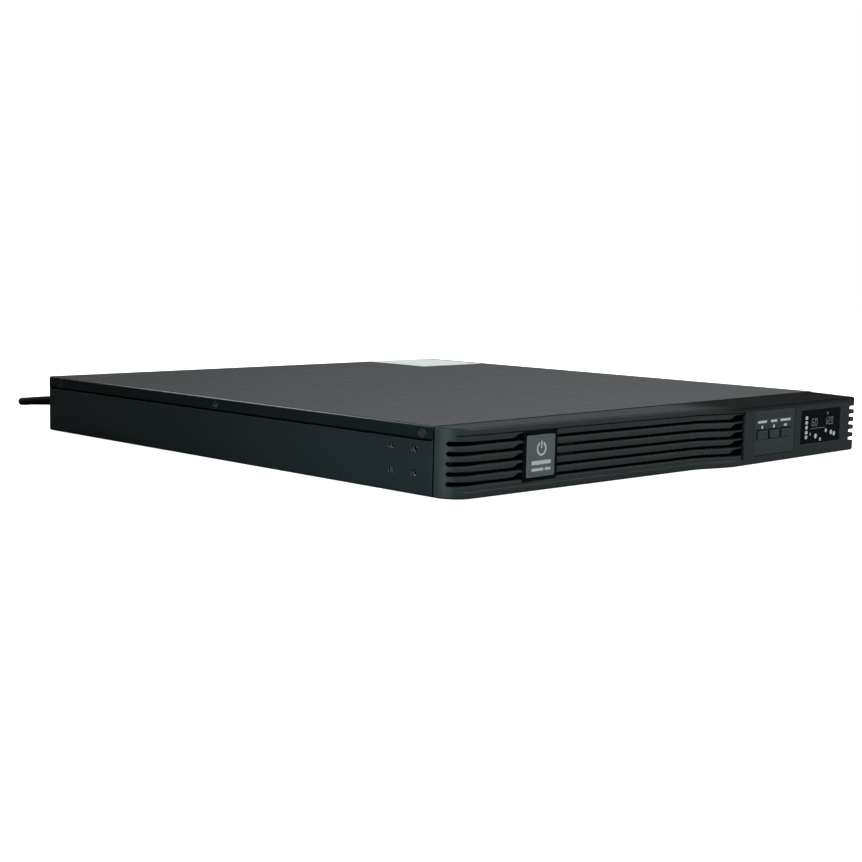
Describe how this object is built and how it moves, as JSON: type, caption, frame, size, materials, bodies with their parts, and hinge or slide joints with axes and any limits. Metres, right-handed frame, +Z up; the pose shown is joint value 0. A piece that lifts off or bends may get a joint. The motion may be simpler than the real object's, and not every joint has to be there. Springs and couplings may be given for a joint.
{
  "type": "uninterruptible power supply",
  "caption": "One-rack-unit uninterruptible power supply: steel case, slatted front bezel with keys and a display, battery drawer, rear sockets, fans and a mains cord.",
  "frame": {"origin": "centre of the steel case's underside, on the plane it rests on (without the bezel and the cord)", "axes": "+Z up, -Y out of the bezel, +X to the right as seen from the front"},
  "size_m": [0.438, 0.5841, 0.0437],
  "materials": {
    "case_paint": "fine-textured dark grey powder coat, satin",
    "inner_steel": "zinc-plated sheet, satin",
    "screw_black": "black oxide, satin",
    "bezel_plastic": "charcoal moulded plastic, fine texture",
    "badge_plastic": null,
    "panel_plastic": "blue-grey moulded plastic, fine texture",
    "lcd_glass": "gloss black window",
    "lcd_module": "black display module",
    "black_plastic": "black moulded plastic",
    "battery_case": "charcoal battery case",
    "circuit_board": "green circuit board",
    "copper_winding": "enamelled copper wire",
    "core_steel": "varnished laminated steel",
    "bare_aluminium": "extruded, satin",
    "relay_case": "dark blue moulded case",
    "ribbon": "grey flat cable",
    "label_stock": "plain pale label, nothing printed",
    "cord_rubber": "black flexible jacket",
    "terminal_green": "green terminal block",
    "guard_wire": "plated wire",
    "connector_shell": "plated connector shell"
  },
  "bodies": {
    "case": {"chassis_tray": "case_paint", "top_cover": "case_paint", "rear_panel": "case_paint", "front_plate": "case_paint", "bay_divider": "inner_steel", "top_label": "label_stock", "control_housing": "black_plastic", "control_fascia": "panel_plastic", "lcd_window": "lcd_glass", "lcd_panel": "lcd_module", "display_board": "circuit_board", "display_ribbon": "ribbon", "battery_socket": "black_plastic", "battery_cable": "cord_rubber", "main_board": "circuit_board", "transformer_core": "core_steel", "transformer_winding": "copper_winding", "heatsink": "bare_aluminium", "bulk_capacitor_left": "black_plastic", "bulk_capacitor_right": "black_plastic", "relay": "relay_case", "filter_choke": "copper_winding", "fan_housing_left": "black_plastic", "fan_housing_right": "black_plastic", "fan_guard_left": "guard_wire", "fan_guard_right": "guard_wire", "outlet_bank_left": "black_plastic", "outlet_bank_right": "black_plastic", "breaker_body": "black_plastic", "network_jack": "black_plastic", "usb_port": "connector_shell", "remote_off_terminal": "terminal_green", "ground_screw": "connector_shell", "cord_strain_relief": "cord_rubber", "power_cord": "cord_rubber", "power_plug": "cord_rubber", "cover_screw_left_front": "screw_black", "cover_screw_left_middle": "screw_black", "cover_screw_left_rear": "screw_black", "cover_screw_right_front": "screw_black", "cover_screw_right_middle": "screw_black", "cover_screw_right_rear": "screw_black", "cover_screw_centre": "screw_black"},
    "battery_drawer": {"battery_tray": "case_paint", "battery_front_left": "battery_case", "battery_front_right": "battery_case", "battery_rear_left": "battery_case", "battery_rear_right": "battery_case", "pull_handle": "black_plastic", "battery_plug": "black_plastic"},
    "bezel": {"front_bezel": "bezel_plastic", "badge_plate": "badge_plastic"},
    "menu_button": {"menu_button": "panel_plastic"},
    "mute_button": {"mute_button": "panel_plastic"},
    "power_button": {"power_button": "panel_plastic"},
    "thumbscrew_left": {"thumbscrew_left": "screw_black"},
    "thumbscrew_right": {"thumbscrew_right": "screw_black"},
    "fan_rotor_left": {"fan_rotor_left": "black_plastic"},
    "fan_rotor_right": {"fan_rotor_right": "black_plastic"},
    "breaker_button": {"breaker_button": "black_plastic"}
  },
  "joints": [
    {"name": "battery_drawer_slide", "type": "slide", "parent": "case", "child": "battery_drawer", "axis": [0, -1, 0], "range_m": [0, 0.3]},
    {"name": "bezel_pull_off", "type": "slide", "parent": "case", "child": "bezel", "axis": [0, -1, 0], "range_m": [0, 0.376]},
    {"name": "menu_button_press", "type": "slide", "parent": "case", "child": "menu_button", "axis": [0, 1, 0], "range_m": [0, 0.001], "stiffness_N_per_m": 600},
    {"name": "mute_button_press", "type": "slide", "parent": "case", "child": "mute_button", "axis": [0, 1, 0], "range_m": [0, 0.001], "stiffness_N_per_m": 600},
    {"name": "power_button_press", "type": "slide", "parent": "case", "child": "power_button", "axis": [0, 1, 0], "range_m": [0, 0.001], "stiffness_N_per_m": 600},
    {"name": "thumbscrew_left_turn", "type": "hinge", "parent": "battery_drawer", "child": "thumbscrew_left", "pos_m": [-0.2124, -0.221, 0.021], "axis": [0, 1, 0], "continuous": true},
    {"name": "thumbscrew_right_turn", "type": "hinge", "parent": "battery_drawer", "child": "thumbscrew_right", "pos_m": [-0.0035, -0.221, 0.021], "axis": [0, 1, 0], "continuous": true},
    {"name": "fan_left_spin", "type": "hinge", "parent": "case", "child": "fan_rotor_left", "pos_m": [0.152, 0.2065, 0.0216], "axis": [0, 1, 0], "continuous": true},
    {"name": "fan_right_spin", "type": "hinge", "parent": "case", "child": "fan_rotor_right", "pos_m": [0.194, 0.2065, 0.0216], "axis": [0, 1, 0], "continuous": true},
    {"name": "breaker_trip", "type": "slide", "parent": "case", "child": "breaker_button", "axis": [0, 1, 0], "range_m": [0, 0.005]}
  ],
  "couplings": [
    {"joint": "bezel_pull_off", "follows": "battery_drawer_slide", "ratio": 1.25}
  ]
}
